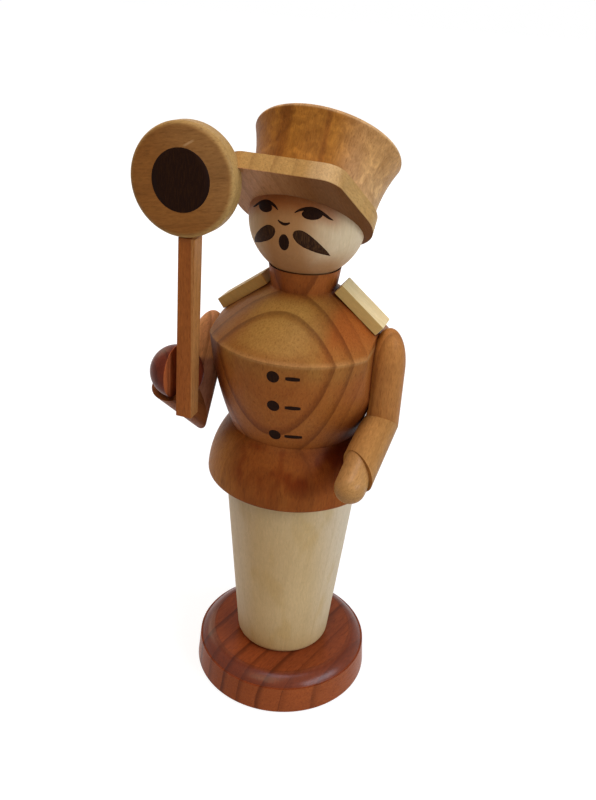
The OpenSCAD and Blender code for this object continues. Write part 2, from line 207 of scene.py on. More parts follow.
# Wood, with all distances in millimetres
SEED_STEP = 37.0
SPAN_FADE = 0.6
NOOK_REACH = 15.0
WOOD_SPECULAR = 0.05
LACQUER_ROUGHNESS = 0.24


def grain_frame(net, along, inward, middle):
    """Place about a middle point, with +Z along the grain and +Y toward the pith line."""
    z = Vector(along).normalized()
    y = Vector(inward)
    y = (y - z * y.dot(z)).normalized()
    x = y.cross(z)
    local = net.vector("SUBTRACT", net.place(), middle)
    return net.joined(*(net.vector("DOT_PRODUCT", local, tuple(axis)) for axis in (x, y, z)))


def growth_rings(net, placed, grain, pith, ring, wobble, seed):
    """Distance from the pith line, share of the way through a ring, and a random number for each ring."""
    wander = net.noise(grain, (0.055, 0.055, 0.018), 3.0, 0.5, 0.3, "Color")
    centred = net.vector("SUBTRACT", wander, (0.5, 0.5, 0.5))
    shift = net.vector("MULTIPLY", centred, (wobble * 2, wobble * 2, 0.0))
    moved = net.vector("ADD", net.vector("ADD", placed, shift), (0.0, -pith, 0.0))
    depth = net.vector("LENGTH", net.vector("MULTIPLY", moved, (1.0, 1.0, 0.0)))
    rings = net.math("DIVIDE", depth, ring)
    lottery = net.add("ShaderNodeTexWhiteNoise", noise_dimensions="1D")
    net.put(net.math("ADD", net.math("FLOOR", rings), seed), lottery.inputs["W"])
    return depth, net.math("FRACT", rings), lottery.outputs["Value"]


def ring_strength(net, depth, luck, span, fade_below):
    """Strength of each ring: by chance, or full within a span of depths, and weaker below a height."""
    if span:
        start, end = span
        strength = net.times(net.ramp(depth, start - SPAN_FADE, start, 0.1, 1.0),
                             net.ramp(depth, end, end + SPAN_FADE, 1.0, 0.35))
    else:
        strength = net.ramp(luck, 0.0, 1.0, 0.35, 1.0)
    if fade_below:
        height = net.parts(net.place())["Z"]
        strength = net.times(strength, net.ramp(height, fade_below - 3.0, fade_below + 2.0, 0.35, 1.0))
    return strength


def late_wood(net, share):
    """Late wood, which darkens slowly toward the ring's edge and breaks off sharply."""
    rise = net.ramp(share, 0.62, 0.97, 0.0, 1.0)
    fall = net.ramp(share, 0.0, 0.05, 1.0, 0.0)
    return net.math("MAXIMUM", net.math("POWER", rise, 1.6), fall)


def fibres(net, grain):
    """Fibre streaks in two widths."""
    fine = net.noise(grain, (3.6, 3.6, 0.16), 4.0, 0.65)
    broad = net.noise(grain, (0.9, 0.9, 0.035), 3.0, 0.55)
    both = net.math("ADD", net.times(fine, 0.6), net.times(broad, 0.4))
    return net.ramp(both, 0.34, 0.66, 0.0, 1.0)


def pore_dashes(net, grain):
    """Short dashes of open pores."""
    return net.ramp(net.noise(grain, (3.4, 3.4, 0.55), 2.0, 0.6), 0.54, 0.70, 0.0, 1.0)


def ray_flecks(net, grain):
    """Small lenses of the wood rays."""
    return net.ramp(net.noise(grain, (1.6, 2.6, 0.8), 3.0, 0.65, 0.4), 0.50, 0.70, 0.0, 1.0)


def slow_mottle(net, grain):
    """Slow change of tone over a piece."""
    return net.ramp(net.noise(grain, (0.10, 0.10, 0.05), 3.0, 0.55), 0.36, 0.64, 0.0, 1.0)


def curled(net, grain, colour):
    """Colour with the bright and dull patches of curly wood."""
    waves = net.noise(grain, (0.34, 0.34, 0.40), 3.0, 0.55, 0.6)
    bright = net.filtered(colour, 1.3, 1.34, 1.32)
    dull = net.filtered(colour, 0.83, 0.79, 0.74)
    colour = net.mix(net.ramp(waves, 0.32, 0.5, 1.0, 0.0), colour, dull)
    return net.mix(net.ramp(waves, 0.48, 0.68, 0.0, 1.0), colour, bright)


def gritty(net, grain, colour, grit):
    """Colour with the fine grit of open and closed fibres."""
    speckle = net.noise(grain, (2.3, 2.3, 0.6), 2.0, 0.7)
    tone = net.ramp(speckle, 0.3, 0.7, 1.0 - grit, 1.0 + grit)
    return net.mix(1.0, colour, net.joined(tone, tone, tone), "MULTIPLY")


def soiled_and_shaded(net, colour, grime_and_shade):
    """Colour that darkens in nooks where pieces stand close, partly as dust and partly as painted deep shade.
    """
    nook = net.add("ShaderNodeAmbientOcclusion", samples=8)
    nook.inputs["Distance"].default_value = NOOK_REACH * MM
    # Nooks darkened as dust and as painted deep shade
    dirt_and_shade = net.ramp(nook.outputs["AO"], 0.42, 0.88, grime_and_shade, 0.0)
    return net.mix(dirt_and_shade, colour, net.filtered(colour, 0.30, 0.17, 0.12))


def wood(name, light, dark, late, along=(0, 0, 1), inward=(0, -1, 0), middle=(0, 0, 0), pith=40.0, ring=4.0,
         late_strength=0.5, ring_tint=0.25, wobble=1.0, streak=0.4, pores=0.3, mottle=0.35, fleck=0.25,
         curly=False, deepen=0.0, grit=0.1, grime_and_shade=0.0, gloss=0.42, lacquer=0.02, seed=0.0, span=None,
         fade_below=None, overlay=None, polish=None):
    """Oiled wood between a light and a dark colour, with lines and pores of late wood.

    The growth rings lie about a pith line that runs along the grain, at a distance from the middle.
    An overlay tints the early wood by place, and a polish gives the lacquer by place.
    """
    net = Net(bpy.data.materials.new(name))
    placed = grain_frame(net, along, inward, middle)
    grain = net.vector("ADD", placed, (0.0, 0.0, seed * SEED_STEP))
    depth, share, luck = growth_rings(net, placed, grain, pith, ring, wobble, seed)
    strength = ring_strength(net, depth, luck, span, fade_below)
    lines = net.times(late_wood(net, share), strength)
    fibre = fibres(net, grain)
    pore = pore_dashes(net, grain)

    colour = net.tint(net.times(slow_mottle(net, grain), mottle), linear(light), dark)
    colour = net.tint(net.times(luck, ring_tint), colour, dark)
    colour = net.tint(net.times(net.math("SUBTRACT", 1.0, fibre), streak), colour, dark)
    if overlay:
        colour = overlay(net, placed, colour)
    if deepen:
        deep = net.filtered(colour, 0.62, 0.46, 0.32)
        colour = net.mix(net.times(net.ramp(share, 0.2, 0.95, 0.0, deepen), strength), colour, deep)
    if curly:
        colour = curled(net, grain, colour)
    colour = net.tint(net.times(lines, late_strength), colour, late)
    colour = net.tint(net.times(pore, pores), colour, late)
    pale = net.filtered(colour, 1.3, 1.28, 1.22)
    colour = net.mix(net.times(ray_flecks(net, grain), fleck), colour, pale)
    colour = gritty(net, grain, colour, grit)
    # Darker nooks: dust and painted deep shade
    if grime_and_shade:
        colour = soiled_and_shaded(net, colour, grime_and_shade)

    height = net.math("SUBTRACT", net.times(fibre, 0.6), net.times(pore, 0.8))
    height = net.math("SUBTRACT", height, net.times(lines, 0.35))
    rough = net.math("ADD", net.times(fibre, -0.08), gloss + 0.05)
    rough = net.math("ADD", rough, net.times(pore, 0.12))
    normal = net.relief(height, strength=0.4, depth=0.05)
    shader = net.principled(colour, rough, normal, WOOD_SPECULAR)
    net.put(polish(net) if polish else lacquer, shader.inputs["Coat Weight"])
    shader.inputs["Coat Roughness"].default_value = LACQUER_ROUGHNESS
    return net.surface(shader)


# Woods of the pieces. Their tints are tuned to the photo, so some of its light and shade may be in them
woods = {}


def base_tint(net, placed, colour):
    """Darker shoulder between the paler top and rim."""
    place = net.place()
    z = net.parts(place)["Z"]
    radius = net.vector("LENGTH", net.vector("MULTIPLY", place, (1.0, 1.0, 0.0)))
    outside = net.ramp(radius, BASE_TOP_R - 0.3, BASE_TOP_R + 0.1, 0.0, 1.0)
    shoulder = net.times(outside, net.ramp(z, BASE_RIM_Z - 0.05, BASE_RIM_Z + 0.15, 0.0, 0.55))
    colour = net.tint(shoulder, colour, "5a2210")
    colour = net.tint(net.ramp(z, BASE_TOP_Z - 0.3, BASE_TOP_Z - 0.1, 0.0, 0.1), colour, "b4704a")
    return net.tint(net.ramp(z, BASE_RIM_Z - 0.1, BASE_RIM_Z, 0.38, 0.0), colour, "b06234")


def base_polish(net):
    """Lacquer on the turned shoulder, half of it on the top and next to none on the rim."""
    z = net.parts(net.place())["Z"]
    return net.times(net.ramp(z, BASE_RIM_Z - 0.1, BASE_RIM_Z + 0.2, 0.02, 0.34),
                     net.ramp(z, BASE_TOP_Z - 0.6, BASE_TOP_Z - 0.2, 1.0, 0.5))


woods["base"] = wood("base_plum", "94451d", "702c11", "3e1507", along=(0.29, 0.957, 0),
                     inward=(0.957, -0.29, 0), pith=70.0, ring=5.2, late_strength=0.62, streak=0.45,
                     gloss=0.3, seed=2.0, overlay=base_tint, polish=base_polish)


def trouser_tint(net, placed, colour):
    """Paler to both sides as painted light and sheen, blotched, and yellower at the foot."""
    at = net.parts(net.place())
    # Painted light and sheen: paler to both sides of the front
    colour = net.tint(net.ramp(net.apart(at["X"], 3.0), 5.0, 14.0, 0.0, 0.5), colour, "e4d8c4")
    blots = net.noise(placed, (0.16, 0.16, 0.05), distortion=0.4)
    colour = net.tint(net.ramp(blots, 0.54, 0.70, 0.0, 0.32), colour, "b8924e")
    return net.tint(net.ramp(at["Z"], BASE_TOP_Z + 0.2, BASE_TOP_Z + 10.2, 0.35, 0.0), colour, "c09a58")


woods["trousers"] = wood("trouser_maple", "cfb282", "bd9e6f", "9a7747", pith=60.0, ring=2.6,
                         late_strength=0.12, streak=0.3, pores=0.12, mottle=0.3, fleck=0.2, gloss=0.5,
                         grit=0.035, seed=5.0, overlay=trouser_tint)


def coat_red_and_shade(net, x, z):
    """Share of red wood and painted shade: below the ridge, on the left side and at the collar."""
    # Partly painted shade below the ridge
    low = net.ramp(z, RIDGE_Z - 6.4, RIDGE_Z + 0.6, 0.55, 0.0)
    # Partly the strip's painted shadow on the left shoulder
    side = net.times(net.ramp(x, 8.0, 11.0, 0.0, 0.75), net.ramp(z, RIDGE_Z - 0.4, RIDGE_Z + 4.6, 0.35, 1.0))
    # Painted shade under the head at the collar
    collar = net.ramp(z, COLLAR_Z - 1.1, COLLAR_Z + 0.5, 0.0, 0.7)
    return net.math("MAXIMUM", net.math("MAXIMUM", low, side), collar)


def coat_gold_and_light(net, x, z):
    """Share of golden wood and painted light from above: on the chest between ridge and collar."""
    # Partly painted light on the upward chest
    chest = net.times(net.ramp(z, RIDGE_Z, RIDGE_Z + 2.6, 0.0, 1.0),
                      net.ramp(z, COLLAR_Z - 2.1, COLLAR_Z + 0.5, 1.0, 0.0))
    return net.times(chest, net.ramp(x, 3.0, 9.0, 0.4, 0.0), net.ramp(x, -11.0, -3.0, 0.0, 1.0))


def skirt_tint(net, placed, x, z, colour):
    """Dark red blots on the skirt, weaker at the hem and on the right side, which is golden."""
    skirt = net.ramp(z, WAIST_Z - 1.1, WAIST_Z + 0.9, 1.0, 0.0)
    blots = net.ramp(net.noise(placed, (0.16, 0.16, 0.10)), 0.42, 0.6, 0.5, 1.0)
    leftward = net.ramp(x, -14.0, -6.0, 0.3, 0.92)
    upward = net.ramp(z, HEM_Z + 2.3, HEM_Z + 7.3, 0.5, 1.0)
    colour = net.tint(net.times(skirt, leftward, upward, blots), colour, "6a2808")
    return net.tint(net.times(skirt, net.ramp(x, -15.0, -5.0, 0.55, 0.0)), colour, "b47e3c")


def coat_tint(net, placed, colour):
    """Red and golden tints with painted light and shade, the skirt's own tint, and a pale ridge that is wear
    and painted highlight.
    """
    at = net.parts(net.place())
    x, z = at["X"], at["Z"]
    colour = net.tint(coat_red_and_shade(net, x, z), colour, "9c501e")
    colour = net.tint(coat_gold_and_light(net, x, z), colour, "c49a50")
    colour = skirt_tint(net, placed, x, z, colour)
    # Pale ridge: partly wear, partly painted highlight on the edge
    return net.tint(net.ramp(net.apart(z, RIDGE_Z), 0.1, 0.9, 0.36, 0.0), colour, "c09058")


woods["coat"] = wood("coat_alder", "a37336", "874b20", "48200a", along=(0.0, 0.187, 0.982),
                     middle=(-2, -14.1, 93), pith=35.9, ring=4.1, wobble=0.5, late_strength=0.36,
                     ring_tint=0.4, deepen=0.5, grime_and_shade=0.9, seed=3.0, span=(36.0, 42.5), fade_below=WAIST_Z,
                     overlay=coat_tint)

# Axes of the cap, which tilts back and turns with the head
cap_axes = Matrix.Rotation(math.radians(HEAD_TURN), 3, "Z") @ Matrix.Rotation(math.radians(-CAP_TILT), 3, "X")
cap_side = tuple(cap_axes @ Vector((1, 0, 0)))
cap_front = tuple(cap_axes @ Vector((0, -1, 0)))
cap_up = tuple(cap_axes @ Vector((0, 0, 1)))


def cap_place(net):
    """Place in the cap's frame: X to its side, Y to its front, Z up its axis from the visor's underside."""
    local = net.vector("SUBTRACT", net.place(), (0.0, 0.0, HEAD_Z))
    turned = net.joined(*(net.vector("DOT_PRODUCT", local, axis) for axis in (cap_side, cap_front, cap_up)))
    return net.vector("ADD", turned, (0.0, 0.0, CAP_DROP))


def head_painted_shade(net, placed, colour):
    """Painted shade: browner in the middle of the face and at the chin than on the cheeks, and the visor's
    shadow at the brow.
    """
    x, y, z = net.parts(net.place())
    # Painted shade in the middle of the face and under the chin
    face = net.ramp(net.math("SUBTRACT", x, net.times(y, 0.35)), 5.5, 13.5, 1.0, 0.0)
    face = net.times(face, net.ramp(x, -9.5, -3.5, 0.3, 1.0))
    chin = net.times(net.ramp(z, HEAD_Z - 8.0, HEAD_Z - 1.5, 0.9, 0.0), net.ramp(x, 7.0, 12.0, 1.0, 0.35))
    colour = net.tint(net.times(net.math("MAXIMUM", face, chin), 0.9), colour, "a4703f")
    # Painted shadow of the visor on the brow
    brow = net.ramp(net.parts(cap_place(net))["Z"], -4.5, -1.2, 0.0, 0.75)
    return net.tint(net.times(brow, net.ramp(x, 7.0, 11.0, 1.0, 0.0)), colour, "9c5626")


woods["head"] = wood("head_maple", "dcc6a2", "c8ac80", "a58058", pith=45.0, ring=2.4, late_strength=0.1,
                     streak=0.25, pores=0.1, mottle=0.25, fleck=0.2, gloss=0.48, grit=0.03, seed=9.0,
                     overlay=head_painted_shade)


def visor_light_and_shade(net, placed, colour):
    """Painted light on the left corner, and painted shade on the underside, darker and redder to the left."""
    at = net.parts(cap_place(net))
    side, height = at["X"], at["Z"]
    # Painted light on the left corner
    corner = net.times(net.ramp(side, 4.5, 8.0, 0.0, 0.6), net.ramp(side, 9.5, 13.0, 1.0, 0.0))
    colour = net.tint(corner, colour, "d8b482")
    # Painted shade under the visor, darker and redder to the left
    shade_below = net.tint(net.ramp(side, -10.0, 9.0, 0.0, 1.0), linear("bc865c"), "5a2206")
    return net.mix(net.ramp(height, -0.05, 0.25, 0.85, 0.0), colour, shade_below)


woods["cap_visor"] = wood("visor_alder", "bf9657", "a2743e", "744a26", along=cap_front, inward=cap_side,
                          middle=(0, 0, HEAD_Z), pith=60.0, ring=4.4, late_strength=0.35, seed=17.0,
                          overlay=visor_light_and_shade)


def crown_tint(net, placed, colour):
    """Red streak right of the front, a thin dark line left of it, a painted sheen to the left and a painted
    highlight on the rim.
    """
    side, ahead, height = net.parts(cap_place(net))
    front = net.ramp(ahead, -2.0, 2.0, 0.0, 1.0)
    streak = net.ramp(net.apart(side, -5.0), 0.6, 2.2, 0.5, 0.0)
    line = net.ramp(net.apart(side, 4.1), 0.15, 0.9, 0.45, 0.0)
    colour = net.tint(net.times(net.math("MAXIMUM", streak, line), front), colour, "6a3413")
    # Painted sheen on the left side
    pale = net.times(net.ramp(side, 5.0, 13.0, 0.0, 0.62), net.ramp(height, 15.0, 26.0, 1.0, 0.5))
    colour = net.tint(net.times(pale, net.ramp(height, 6.0, 15.0, 1.15, 0.62)), colour, "cca270")
    # Painted highlight on the top rim
    rim = net.times(net.ramp(height, CAP_TOP - 1.1, CAP_TOP - 0.7, 0.0, 0.5),
                    net.ramp(height, CAP_TOP - 0.1, CAP_TOP - 0.02, 1.0, 0.0))
    return net.tint(rim, colour, "d6ae7c")


woods["cap_crown"] = wood("crown_alder", "a26b2a", "885221", "51270d", along=cap_up, inward=cap_side,
                          middle=(0, 0, HEAD_Z), pith=55.0, ring=9.0, late_strength=0.1, streak=0.22,
                          curly=True, seed=14.0, overlay=crown_tint)


def left_sleeve_painted_light(net, placed, colour):
    """Painted light: paler inner side next to the coat."""
    x = net.parts(net.place())["X"]
    # Painted light on the side that lies in the coat's shade
    return net.tint(net.ramp(x, ARM_FLAT_X - 0.2, ARM_FLAT_X + 2.6, 0.5, 0.0), colour, "c8823f")


def right_sleeve_shadow(net, placed, colour):
    """Dark red lower part of the sleeve, toward the elbow, partly darker wood and partly painted shadow."""
    z = net.parts(net.place())["Z"]
    # Partly painted shadow below the shoulder
    return net.tint(net.ramp(z, RIGHT_SHOULDER_Z - 1.0, RIGHT_SHOULDER_Z + 0.6, 0.75, 0.0), colour, "905a48")


woods["upper_arm_left"] = wood("upper_arm_left_alder", "b67c40", "985d2f", "5d3117", inward=(1, -1, 0),
                               middle=(20, 0, 80), pith=30.0, ring=3.2, seed=21.0, overlay=left_sleeve_painted_light)
woods["upper_arm_right"] = wood("upper_arm_right_alder", "e09f66", "c37e4b", "743d20", along=RIGHT_DOWN,
                                inward=(-1, -1, 0), middle=(-22, -6, 80), pith=30.0, ring=3.2, seed=24.0,
                                overlay=right_sleeve_shadow)
woods["forearm_left"] = wood("forearm_left_alder", "af7d44", "976734", "6f4620", along=LEFT_FORE,
                             inward=(0, 0, 1), middle=(20, -9, 73), pith=30.0, ring=3.0, late_strength=0.25,
                             fleck=0.35, seed=26.0)
woods["forearm_right"] = wood("forearm_right_alder", "91562c", "763d1d", "481f0b", along=RIGHT_FORE,
                              inward=(0, 0, 1), middle=(-24, -11, 78), pith=30.0, ring=3.0, seed=29.0)
woods["hand_left"] = wood("hand_left_alder", "b6874f", "9f703e", "754c27", along=LEFT_FORE, inward=(0, 0, 1),
                          middle=(19, -19, 70), pith=28.0, ring=2.8, late_strength=0.2, fleck=0.35,
                          lacquer=0.12, seed=31.0)


def slot_wood_and_light(net, placed, colour):
    """Paler sawn walls of the slot, partly fresh wood and partly painted light in the slot's shade."""
    at = net.parts(net.vector("SUBTRACT", net.place(), STAFF_AT))
    x, y = at["X"], at["Y"]
    wall = net.times(net.ramp(x, -SLOT_WALL - 0.1, -SLOT_WALL - 0.04, 0.0, 1.0),
                     net.ramp(y, STAFF_W / 2 + 0.04, STAFF_W / 2 + 0.1, 1.0, 0.0))
    # Partly painted light on the slot wall
    return net.tint(net.times(wall, net.ramp(x, 0.0, 0.4, 1.0, 0.0)), colour, "aa5a30")


woods["hand_right"] = wood("hand_right_plum", "78341f", "562213", "32130a", inward=(-1, -1, 0),
                           middle=(-23, -16, 86), pith=26.0, ring=2.6, gloss=0.3, lacquer=0.06, seed=35.0,
                           overlay=slot_wood_and_light)


def staff_painted_light(net, placed, colour):
    """Painted light: paler side toward the body."""
    x = net.parts(placed)["X"]
    # Painted light on the side toward the body
    return net.tint(net.ramp(x, 0.1 - STAFF_W / 2, 0.35 - STAFF_W / 2, 0.75, 0.0), colour, "b88048")


woods["signal_staff"] = wood("staff_plum", "a5602b", "8b4a21", "592a12", middle=STAFF_AT, pith=30.0, ring=1.5,
                             late_strength=0.25, gloss=0.4, seed=38.0, overlay=staff_painted_light)

# The disc's front face, with one scratch on it
SCRATCH_AT = (1.3, 7.1)
SCRATCH_ALONG = (0.84, 0.54)
SCRATCH_ACROSS = (-0.54, 0.84)
staff_frame = Matrix.Translation(STAFF_AT) @ Matrix.Rotation(math.radians(STAFF_LEAN), 4, "Y")


def on_disc(x, y, lift):
    """Point over the disc's front face, at two distances from its centre and a lift."""
    turned = Matrix.Rotation(math.radians(90 - DISC_TILT), 4, "X") @ Vector((x, y, DISC_T / 2 + lift))
    return staff_frame @ (turned + Vector((-DISC_OFFSET, 0, STAFF_HIGH + DISC_LOW)))


def disc_tint(net, placed, colour):
    """Paler toward the figure and the top as painted light, and at the turned edge, with a scratch."""
    centre = on_disc(0, 0, 0)
    local = net.vector("SUBTRACT", net.place(), tuple(centre))
    # Painted light, paler toward the figure and the top
    toward = net.vector("DOT_PRODUCT", local, (0.8, 0.0, 0.6))
    colour = net.tint(net.ramp(toward, -4.0, 10.0, 0.0, 0.3), colour, "b08a58")
    edge = net.ramp(net.vector("LENGTH", local), DISC_R - 1.2, DISC_R - 0.1, 0.0, 0.55)
    colour = net.tint(edge, colour, "bb9a5c")
    away = net.vector("SUBTRACT", local, tuple(on_disc(*SCRATCH_AT, 0) - centre))
    along, across = (net.math("ABSOLUTE", net.vector("DOT_PRODUCT", away, tuple(on_disc(*axis, 0) - centre)))
                     for axis in (SCRATCH_ALONG, SCRATCH_ACROSS))
    scratch = net.times(net.ramp(across, 0.08, 0.3, 0.45, 0.0), net.ramp(along, 0.6, 1.6, 1.0, 0.0))
    return net.tint(scratch, colour, "d0a878")


woods["signal_disc"] = wood("disc_alder", "93602e", "7b4b22", "5d3515", along=(1, 0, 0.2),
                            inward=(0, -1, 0.3), middle=(-20, -18, 128), pith=24.0, ring=2.8,
                            late_strength=0.25, seed=41.0, overlay=disc_tint)


def strip_tint_and_shade(net, placed, colour):
    """Sawn sides darker than the planed top, partly the wood and partly painted shade, and more orange on the
    right strip.
    """
    slope = math.radians(SHOULDER_SLOPE)
    facing = net.vector("ABSOLUTE", net.add("ShaderNodeNewGeometry").outputs["Normal"])
    level = net.vector("DOT_PRODUCT", facing, (math.sin(slope), 0.0, math.cos(slope)))
    sides = net.ramp(level, 0.75, 0.95, 1.0, 0.0)
    # Partly painted shade on the sides
    colour = net.tint(net.times(sides, 0.8), colour, "cca75e")
    right = net.ramp(net.parts(net.place())["X"], -1.0, 1.0, 0.4, 0.0)
    return net.tint(net.times(right, sides), colour, "da9440")


epaulette = wood("epaulette_maple", "e6ce9c", "ceaf74", "a78b52", along=(1, 0, -0.6), ring=1.8,
                 late_strength=0.16, streak=0.25, pores=0.1, gloss=0.48, grit=0.03, seed=44.0,
                 overlay=strip_tint_and_shade)
for strip in ("epaulette_left", "epaulette_right"):
    woods[strip] = epaulette

dowel = wood("dowel_beech", "c9a876", "b08c5c", "8a6538", pith=20.0, ring=1.6, late_strength=0.2, seed=47.0)
for inner in ("neck_dowel", "cap_dowel", "shoulder_dowels", "elbow_dowels"):
    woods[inner] = dowel

# Inks of the printed marks
INK_SPECULAR = 0.03


def ink(name, colour, worn, amount):
    """Printed matt ink that thins a little where the wood grain shows through, less so at its rim."""
    net = Net(bpy.data.materials.new(name))
    thin = net.ramp(net.noise(net.place(), (5.2, 5.2, 0.5), 3.0, 0.6), 0.40, 0.70, 0.0, 1.0)
    rim = net.add("ShaderNodeAttribute", attribute_name="edge").outputs["Fac"]
    tone = net.tint(net.times(thin, amount, net.ramp(rim, 0.2, 0.7, 1.0, 0.15)), linear(colour), worn)
    rough = net.math("ADD", net.times(thin, 0.12), 0.5)
    normal = net.relief(thin, strength=0.25, depth=0.03)
    return net.surface(net.principled(tone, rough, normal, INK_SPECULAR))


black_ink = ink("print_ink", "20100a", "36200f", 0.5)
brown_ink = ink("moustache_ink", "2c1a11", "5c3e24", 0.7)

# CAD pieces: materials, softened edges and smooth shading
WELD_REACH = 0.002
SMOOTH_LIMIT = 32
ROUND_LIMIT = 38
ROUND_STEPS = 3
ROUNDED = {"signal_staff": 0.28, "cap_crown": 0.3, "cap_visor": 0.3, "coat": 0.18, "hand_right": 0.15,
           "base": 0.15}
for side in ("left", "right"):
    ROUNDED["epaulette_" + side] = 0.22
    ROUNDED["upper_arm_" + side] = ROUNDED["forearm_" + side] = 0.15


def smooth_group(limit):
    """Geometry nodes that shade every edge below the limit angle smooth."""
    group = bpy.data.node_groups.new("soft_edges", "GeometryNodeTree")
    group.interface.new_socket("Geometry", in_out="INPUT", socket_type="NodeSocketGeometry")
    group.interface.new_socket("Geometry", in_out="OUTPUT", socket_type="NodeSocketGeometry")
    made = group.nodes.new
    start, end = made("NodeGroupInput"), made("NodeGroupOutput")
    faces, edges = made("GeometryNodeSetShadeSmooth"), made("GeometryNodeSetShadeSmooth")
    faces.domain, edges.domain = "FACE", "EDGE"
    angle, test = made("GeometryNodeInputMeshEdgeAngle"), made("FunctionNodeCompare")
    test.operation = "LESS_EQUAL"
    test.inputs["B"].default_value = math.radians(limit)
    link = group.links.new
    link(start.outputs[0], faces.inputs["Geometry"])
    link(faces.outputs[0], edges.inputs["Geometry"])
    link(angle.outputs["Unsigned Angle"], test.inputs["A"])
    link(test.outputs[0], edges.inputs["Shade Smooth"])
    link(edges.outputs[0], end.inputs[0])
    return group


soft_edges = smooth_group(SMOOTH_LIMIT)
for name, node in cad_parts.items():
    node.data.materials.clear()
    node.data.materials.append(woods[name])
    weld = node.modifiers.new("weld", "WELD")
    weld.merge_threshold = WELD_REACH * MM
    if name in ROUNDED:
        bevel = node.modifiers.new("round", "BEVEL")
        bevel.width = ROUNDED[name] * MM
        bevel.segments = ROUND_STEPS
        bevel.limit_method = "ANGLE"
        bevel.angle_limit = math.radians(ROUND_LIMIT)
    shade = node.modifiers.new("shade", "NODES")
    shade.node_group = soft_edges
    weighted = node.modifiers.new("weighted", "WEIGHTED_NORMAL")
    weighted.keep_sharp = True

# Printed marks
PRINT_LIFT = 0.025
PRINT_SINK = 0.05
RIM_LIFT_SHARE = 0.3
PRINT_SHIFT = -1.8
BUTTON_R = 1.36
SPOT_R = 6.14


def film(name, surface, rows, material):
    """Thin closed skin over a grid of places on a surface, whose rows share their length.

    Its outer side stands off the wood by a hair, less so at the rim, and its inner side lies in the wood.
    """
    count, width = len(rows), len(rows[0])

    def on_rim(i, j):
        return i in (0, count - 1) or j in (0, width - 1)

    def corner(side, i, j):
        return side * count * width + i * width + j

    verts = []
    for lift, rim_lift in ((PRINT_LIFT, RIM_LIFT_SHARE * PRINT_LIFT), (-PRINT_SINK, -PRINT_SINK)):
        for i, row in enumerate(rows):
            for j, spot in enumerate(row):
                verts.append(tuple(surface(*spot, rim_lift if on_rim(i, j) else lift) * MM))
    faces = []
    for i in range(count - 1):
        for j in range(width - 1):
            faces.append((corner(0, i, j), corner(0, i, j + 1), corner(0, i + 1, j + 1), corner(0, i + 1, j)))
            faces.append((corner(1, i, j), corner(1, i + 1, j), corner(1, i + 1, j + 1), corner(1, i, j + 1)))
    loop = [(0, j) for j in range(width)] + [(i, width - 1) for i in range(1, count)]
    loop += [(count - 1, j) for j in range(width - 2, -1, -1)] + [(i, 0) for i in range(count - 2, 0, -1)]
    for a, b in zip(loop, loop[1:] + loop[:1]):
        faces.append((corner(0, *b), corner(0, *a), corner(1, *a), corner(1, *b)))

    mesh = bpy.data.meshes.new(name)
    mesh.from_pydata(verts, [], faces)
    mesh.update()
    edge = mesh.attributes.new("edge", "FLOAT", "POINT")
    for index, spot in enumerate(edge.data):
        spot.value = 1.0 if on_rim(*divmod(index % (count * width), width)) else 0.0
    for polygon in mesh.polygons:
        polygon.use_smooth = True
    mesh.materials.append(material)
    piece = bpy.data.objects.new(name, mesh)
    bpy.context.scene.collection.objects.link(piece)
    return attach(piece, BODY)


def curve_at(points, t):
    """Point at share t along a smooth curve through the points, number by number."""
    spans = len(points) - 1
    i = min(int(t * spans), spans - 1)
    u = t * spans - i
    near = [points[max(0, min(spans, i + k))] for k in (-1, 0, 1, 2)]
    return tuple(0.5 * (2 * b + (c - a) * u + (2 * a - 5 * b + 4 * c - d) * u * u
                        + (3 * b - a - 3 * c + d) * u ** 3) for a, b, c, d in zip(*near))


def shares(steps):
    """Evenly spaced numbers from -1 to 1."""
    return [2 * j / steps - 1 for j in range(steps + 1)]


def stroke(points, along=28, across=5):
    """Grid of a stroke through points that hold two places and the stroke's width there."""
    aside = 0.01
    rows = []
    for i in range(along + 1):
        t = i / along
        x, y, width = curve_at(points, t)
        x0, y0 = curve_at(points, max(t - aside, 0))[:2]
        x1, y1 = curve_at(points, min(t + aside, 1))[:2]
        size = math.hypot(x1 - x0, y1 - y0)
        nx, ny = -(y1 - y0) / size, (x1 - x0) / size
        half = width / 2
        rows.append([(x + nx * half * s, y + ny * half * s) for s in shares(across)])
    return rows


def oval(x, y, rx, ry, lean=0.0, steps=18, across=8):
    """Grid of an oval, from end to end along its ry axis, with ends that stay a little wide."""
    least = 0.02
    c, s = math.cos(math.radians(lean)), math.sin(math.radians(lean))
    rows = []
    for i in range(steps + 1):
        a = math.pi * (i / steps)
        u, reach = -math.cos(a), max(math.sin(a), least)
        rows.append([(x + c * rx * reach * v - s * ry * u, y + s * rx * reach * v + c * ry * u)
                     for v in shares(across)])
    return rows


def on_head(turn, rise, lift):
    """Point over the head, at two angles from its front and a lift."""
    return Vector((0, 0, HEAD_Z)) + heading(HEAD_TURN + turn, rise) * (HEAD_R + lift)


def belly_radius(z):
    """Radius of the coat's belly at a height, on the arc between waist and ridge."""
    p, q = Vector((WAIST_R, WAIST_Z)), Vector((RIDGE_R, RIDGE_Z))
    half = (q - p).length / 2
    r = (half * half + BELLY_BULGE ** 2) / (2 * BELLY_BULGE)
    out = Vector(((q - p).y, -(q - p).x)).normalized()
    middle = (p + q) / 2 - out * (r - BELLY_BULGE)
    return middle.x + math.sqrt(r * r - (z - middle.y) ** 2)


def on_belly(across, z, lift):
    """Point over the belly, at a distance round it from the front, a height and a lift."""
    r = belly_radius(z)
    turn = across / r
    return Vector((math.sin(turn) * (r + lift), -math.cos(turn) * (r + lift), z))


def flipped(rows, sign):
    """The rows for one side of the face. The print sits a little off centre on the right."""
    if sign > 0:
        return rows
    return [[(PRINT_SHIFT - x, y) for x, y in reversed(row)] for row in rows]


